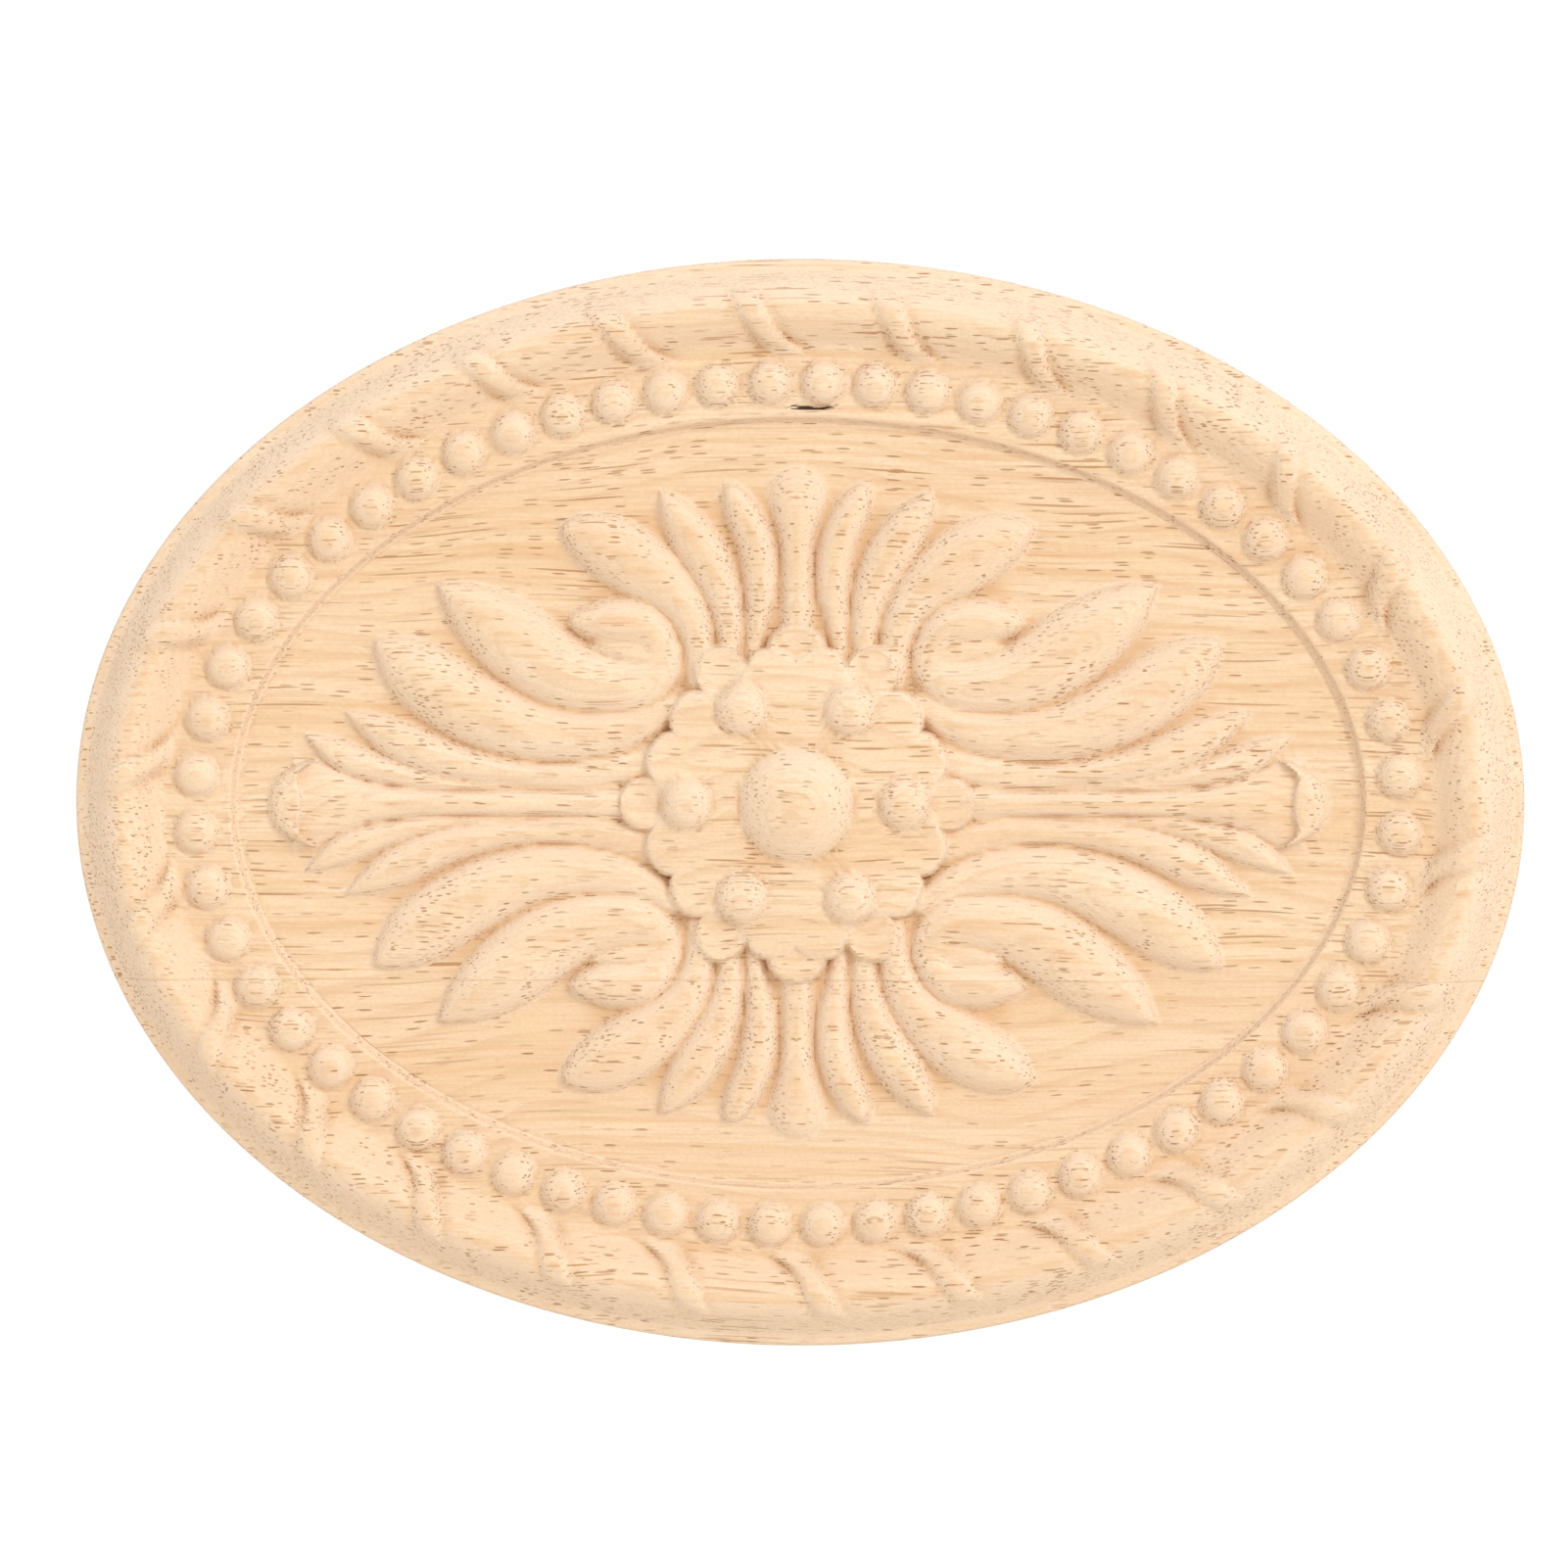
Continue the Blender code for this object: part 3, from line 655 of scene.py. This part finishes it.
cream = mixed(ramp(broad, 0.33, 0.68), pale_cream, warm_cream)
cream = mixed(maths("MULTIPLY", lower, 0.25), cream, lower_tone)
cream = mixed(maths("MULTIPLY", late, 0.42), cream, late_tone)
cream = mixed(ramp(streak, 0.55, 0.68, 0.0, 0.55), cream, streak_tone)
cream = mixed(ramp(fibre, 0.45, 0.72, 0.0, 0.42), cream, fibre_tone)
cream = mixed(ramp(stains, 0.58, 0.75, 0.0, 0.3), cream, stain_tone)
# Paler slopes: partly cut end grain, partly painted light that lifts the walls' shade.
cream = mixed(maths("MULTIPLY", paled, 0.7), cream, slope_tone)
cream = mixed(ramp(speckle, 0.42, 0.58, 0.17, 0.0), cream, speckle_tone)
cream = mixed(maths("MULTIPLY", rough, 0.42), cream, rough_tone)
# Painted shade in the creases, grooves and feet, along the step and over the roll's inner slope.
cream = mixed(maths("MULTIPLY", painted_shade_share.outputs["Fac"], 0.52), cream, painted_shade_tone)
brown = mixed(maths("MULTIPLY", long_pores, 0.85), cream, long_pore_tone)
brown = mixed(maths("MULTIPLY", short_pores, 0.9), brown, short_pore_tone)

# The glue hairline, and painted shade inside the slit, a little longer and narrower than its depth's
# bell shape. Its edge wavers with the fibres, and it is kept to the carved side of the board.
glue_tone, slit_shade_tone = (0.45, 0.26, 0.13, 1), (0.05, 0.018, 0.006, 1)
off_glue = maths("ABSOLUTE", maths("ADD", up, glue_drop))
brown = mixed(ramp(off_glue, 0.00004, 0.0002, 0.25, 0.0), brown, glue_tone)
off_along = maths("DIVIDE", maths("SUBTRACT", along, slit_x * 0.001), slit_half * 0.0011)
wavered = maths("ADD", up, maths("MULTIPLY", maths("SUBTRACT", fibre, 0.5), 0.0018))
off_up = maths("DIVIDE", maths("SUBTRACT", wavered, slit_y * 0.001), slit_gap * 0.0007)
off_slit = maths("ADD", maths("POWER", off_along, 4.0), maths("POWER", off_up, 2.0))
inside = maths("MULTIPLY", ramp(off_slit, 0.3, 1.3, 1.0, 0.0), maths("LESS_THAN", deep, -0.005))
brown = mixed(inside, brown, slit_shade_tone)
links.new(brown, shader.inputs["Base Color"])

# The cut surface: raised fuzz, which is thicker on the slopes, fine fibres and the open pores.
fuzz = maths("MULTIPLY", speckle, ramp(steep, 0.0, 1.0, 0.4, 1.6))
height = maths("ADD", fuzz, maths("MULTIPLY", fibre, 0.5))
open_pores = maths("MAXIMUM", long_pores, short_pores)
height = maths("SUBTRACT", height, maths("MULTIPLY", open_pores, 0.9))
bump = nodes.new("ShaderNodeBump")
bump.inputs["Strength"].default_value = 0.7
bump.inputs["Distance"].default_value = 0.00017
links.new(height, bump.inputs["Height"])
links.new(bump.outputs[0], shader.inputs["Normal"])
sheet.materials.append(wood)


# The studio
# White surroundings give nearly all the light. One broad lamp high on the right draws the relief,
# and a pale round floor lies well below the onlay.
floor_reach, floor_drop = 1.3, 0.32
lamp_from = Vector((0.60, -0.76, 0.42))
studio = bpy.data.worlds.new("white_studio")
studio.use_nodes = True
studio.node_tree.nodes["Background"].inputs["Color"].default_value = (1, 1, 1, 1)
studio.node_tree.nodes["Background"].inputs["Strength"].default_value = 1.05
bpy.context.scene.world = studio
bpy.context.scene.view_settings.view_transform = "Standard"

floor_mesh = bpy.data.meshes.new("pale_floor")
turns = np.linspace(0, 2 * np.pi, 65)[:-1]
floor_mesh.from_pydata(
    np.stack([floor_reach * np.cos(turns), floor_reach * np.sin(turns),
              np.full(len(turns), -floor_drop)], -1),
    [], [list(range(len(turns)))],
)
floor = bpy.data.objects.new("pale_floor", floor_mesh)
bpy.context.scene.collection.objects.link(floor)
pale = bpy.data.materials.new("pale_floor")
pale.use_nodes = True
pale.node_tree.nodes["Principled BSDF"].inputs["Base Color"].default_value = (0.86, 0.81, 0.74, 1)
pale.node_tree.nodes["Principled BSDF"].inputs["Roughness"].default_value = 0.9
floor_mesh.materials.append(pale)

lamp = bpy.data.lights.new("broad_lamp", "SUN")
lamp.energy = 1.22
lamp.color = (0.94, 0.98, 1.0)
lamp.angle = math.radians(24)
lamp_object = bpy.data.objects.new("broad_lamp", lamp)
lamp_object.rotation_euler = lamp_from.to_track_quat("Z", "Y").to_euler()
bpy.context.scene.collection.objects.link(lamp_object)

# The camera looks at the middle of the onlay's thickness from a little right of it and above. The
# frame's width is in metres there, and the onlay's offset in it is in the picture's pixels.
view_from, view_right, view_up, frame_wide = 1.35, math.radians(2.7), math.radians(1.8), 0.2161
picture_side, pixels_right, pixels_up = 1601, -13.7, 19.7
view_middle = Vector((0, -0.006, 0))
camera = bpy.data.cameras.new("camera")
camera.sensor_width = 36.0
camera.lens = 36.0 * view_from / frame_wide
camera.shift_x, camera.shift_y = pixels_right / picture_side, pixels_up / picture_side
back_to = Vector((
    math.sin(view_right) * math.cos(view_up), -math.cos(view_right) * math.cos(view_up),
    math.sin(view_up),
))
camera_object = bpy.data.objects.new("camera", camera)
camera_object.location = view_middle + back_to * view_from
camera_object.rotation_euler = back_to.to_track_quat("Z", "Y").to_euler()
bpy.context.scene.collection.objects.link(camera_object)
bpy.context.scene.camera = camera_object
